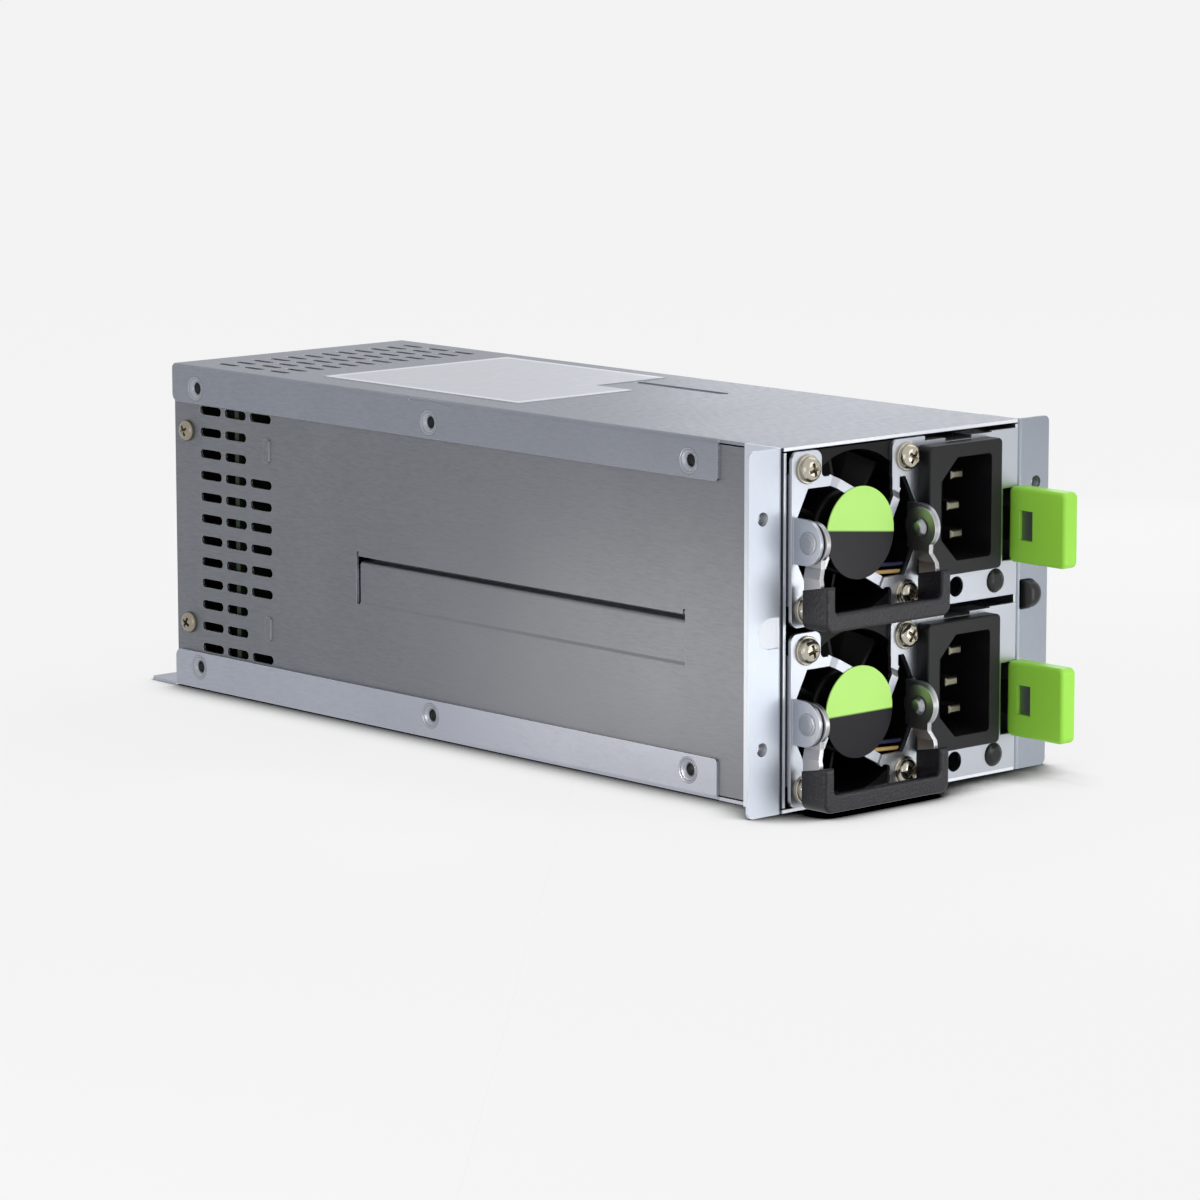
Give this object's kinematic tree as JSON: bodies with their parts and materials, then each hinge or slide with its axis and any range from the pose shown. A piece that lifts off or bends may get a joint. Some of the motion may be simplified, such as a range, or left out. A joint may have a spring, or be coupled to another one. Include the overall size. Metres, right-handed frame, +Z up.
{
  "type": "hot swap server power supply",
  "caption": "Two rack unit redundant power supply: steel cage with slide-out modules, each with a fan, mains inlet, swinging handle and release latch.",
  "frame": {"origin": "centre of the part's outline in X and Y, on the underside of the bottom plate", "axes": "+X to the right seen from the front, -Y out of the front where the modules slide out, +Y to the rear, +Z up"},
  "size_m": [0.0982, 0.255, 0.0842],
  "materials": {
    "zinc_wall": "rolled zinc-plated sheet, satin",
    "zinc_cover": "rolled zinc-plated sheet, satin",
    "zinc_ear": "bright zinc-plated sheet",
    "zinc_plate": "bright zinc-plated sheet, stamped",
    "nickel_screw": "nickel-plated steel, warm",
    "rivet_steel": "plated steel",
    "label_foil": "matt silver foil",
    "circuit_board": "solder mask on glass epoxy",
    "black_plastic": "moulded, fine texture",
    "capacitor_sleeve": "printed shrink sleeve",
    "stud_brass": "turned brass, tinned",
    "grommet_rubber": "soft moulded",
    "button_black": "moulded, smooth",
    "fan_black": "glass-filled, moulded",
    "hub_label": "printed film, light green over grey",
    "handle_steel": "stamped spring steel",
    "grip_plastic": "moulded, coarse texture",
    "inlet_plastic": "moulded, satin",
    "pin_nickel": "nickel-plated brass",
    "lamp_lens": "smoked lens",
    "latch_steel": "spring steel",
    "latch_green": "moulded, satin",
    "core_ferrite": "ferrite and tape",
    "sink_aluminium": "extruded"
  },
  "bodies": {
    "cage": {"cage_left_wall": "zinc_wall", "cage_right_wall": "zinc_wall", "cage_top_cover": "zinc_cover", "cage_bottom_plate": "zinc_cover", "cage_rear_panel": "zinc_wall", "left_mounting_ear": "zinc_ear", "right_mounting_ear": "zinc_ear", "cage_rivets": "rivet_steel", "rear_panel_screws": "nickel_screw", "rating_label": "label_foil", "backplane_board": "circuit_board", "backplane_sockets": "black_plastic", "backplane_capacitors": "capacitor_sleeve", "output_studs": "stud_brass", "cable_grommet": "grommet_rubber", "mute_switch_body": "black_plastic"},
    "mute_button": {"mute_button": "button_black"},
    "lower_module": {"lower_module_tray": "zinc_wall", "lower_module_cover": "zinc_wall", "lower_face_plate": "zinc_plate", "lower_fan_housing": "fan_black", "lower_fan_screws": "nickel_screw", "lower_hub_label": "hub_label", "lower_pivot_rivets": "rivet_steel", "lower_inlet_body": "inlet_plastic", "lower_inlet_pins": "pin_nickel", "lower_status_lamp": "lamp_lens", "lower_latch_anchor": "latch_steel", "lower_power_board": "circuit_board", "lower_bulk_capacitor": "capacitor_sleeve", "lower_main_transformer": "core_ferrite", "lower_heat_sinks": "sink_aluminium"},
    "lower_handle": {"lower_handle_arms": "handle_steel", "lower_handle_grip": "grip_plastic"},
    "lower_latch": {"lower_latch_lever": "latch_steel", "lower_latch_cap": "latch_green"},
    "lower_rotor": {"lower_fan_rotor": "fan_black"},
    "upper_module": {"upper_module_tray": "zinc_wall", "upper_module_cover": "zinc_wall", "upper_face_plate": "zinc_plate", "upper_fan_housing": "fan_black", "upper_fan_screws": "nickel_screw", "upper_hub_label": "hub_label", "upper_pivot_rivets": "rivet_steel", "upper_inlet_body": "inlet_plastic", "upper_inlet_pins": "pin_nickel", "upper_status_lamp": "lamp_lens", "upper_latch_anchor": "latch_steel", "upper_power_board": "circuit_board", "upper_bulk_capacitor": "capacitor_sleeve", "upper_main_transformer": "core_ferrite", "upper_heat_sinks": "sink_aluminium"},
    "upper_handle": {"upper_handle_arms": "handle_steel", "upper_handle_grip": "grip_plastic"},
    "upper_latch": {"upper_latch_lever": "latch_steel", "upper_latch_cap": "latch_green"},
    "upper_rotor": {"upper_fan_rotor": "fan_black"}
  },
  "joints": [
    {"name": "mute_button_press", "type": "slide", "parent": "cage", "child": "mute_button", "axis": [0, 1, 0], "range_m": [0, 0.001], "stiffness_N_per_m": 400},
    {"name": "lower_module_slide", "type": "slide", "parent": "cage", "child": "lower_module", "axis": [0, -1, 0], "range_m": [0, 0.19]},
    {"name": "lower_handle_swing", "type": "hinge", "parent": "lower_module", "child": "lower_handle", "pos_m": [-0.0162, -0.1146, 0.0212], "axis": [-1, 0, 0], "range_deg": [0, 100]},
    {"name": "lower_latch_release", "type": "hinge", "parent": "lower_module", "child": "lower_latch", "pos_m": [0.0341, -0.0698, 0.018], "axis": [0, 0, -1], "range_deg": [0, 3], "stiffness_Nm_per_rad": 4},
    {"name": "lower_fan_spin", "type": "hinge", "parent": "lower_module", "child": "lower_rotor", "pos_m": [-0.0162, -0.0935, 0.0212], "axis": [0, 1, 0], "continuous": true},
    {"name": "upper_module_slide", "type": "slide", "parent": "cage", "child": "upper_module", "axis": [0, -1, 0], "range_m": [0, 0.19]},
    {"name": "upper_handle_swing", "type": "hinge", "parent": "upper_module", "child": "upper_handle", "pos_m": [-0.0162, -0.1146, 0.0628], "axis": [-1, 0, 0], "range_deg": [0, 100]},
    {"name": "upper_latch_release", "type": "hinge", "parent": "upper_module", "child": "upper_latch", "pos_m": [0.0341, -0.0698, 0.0596], "axis": [0, 0, -1], "range_deg": [0, 3], "stiffness_Nm_per_rad": 4},
    {"name": "upper_fan_spin", "type": "hinge", "parent": "upper_module", "child": "upper_rotor", "pos_m": [-0.0162, -0.0935, 0.0628], "axis": [0, 1, 0], "continuous": true}
  ]
}
